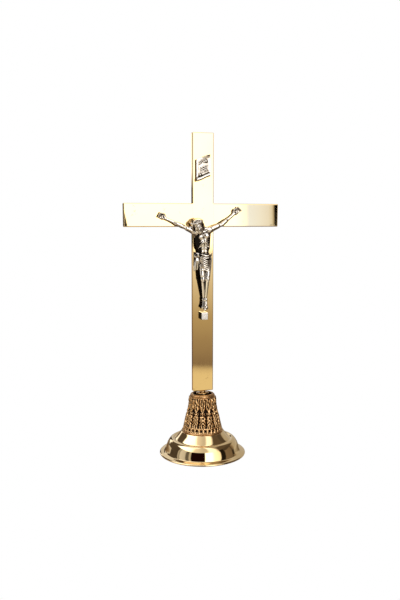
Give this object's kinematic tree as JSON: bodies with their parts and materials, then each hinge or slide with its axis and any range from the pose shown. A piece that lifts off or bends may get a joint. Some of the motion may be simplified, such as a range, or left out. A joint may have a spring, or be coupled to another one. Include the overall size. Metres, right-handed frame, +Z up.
{
  "type": "altar cross",
  "caption": "Free-standing altar cross: half-lapped flat bars with a cast figure and title scroll, on a relief knop and a weighted stepped round base.",
  "frame": {"origin": "centre of the felt pad's underside, on the surface the cross stands on", "axes": "+Z up along the upright, the figure faces -Y, +X is to the right of a person facing the figure"},
  "size_m": [0.224, 0.1274, 0.46],
  "materials": {
    "polished_brass": "mirror polished and lacquered, fine hairline wear, thin tarnish near joints",
    "antique_brass": "cast relief, dark brown patina in the recesses, buffed highlights",
    "antique_silver": "silver plated casting with blackened recesses and bright high points",
    "pin_brass": "plain drawn brass, satin",
    "plain_steel": "zinc plated, dull",
    "cast_iron": "rough sand casting, black paint",
    "green_felt": "pressed wool felt"
  },
  "bodies": {
    "root": {"upright": "polished_brass", "crossbar": "polished_brass", "base_shell": "polished_brass", "seat_collar": "polished_brass", "knop": "antique_brass", "corpus": "antique_silver", "footrest": "antique_silver", "title_scroll": "antique_silver", "nail_right_hand": "antique_silver", "nail_left_hand": "antique_silver", "nail_feet": "antique_silver", "footrest_pin": "antique_silver", "title_pin_upper": "pin_brass", "title_pin_lower": "pin_brass", "tie_rod": "plain_steel", "tie_washer": "plain_steel", "tie_nut": "plain_steel", "bottom_plate": "plain_steel", "base_weight": "cast_iron", "felt_pad": "green_felt"}
  },
  "joints": []
}
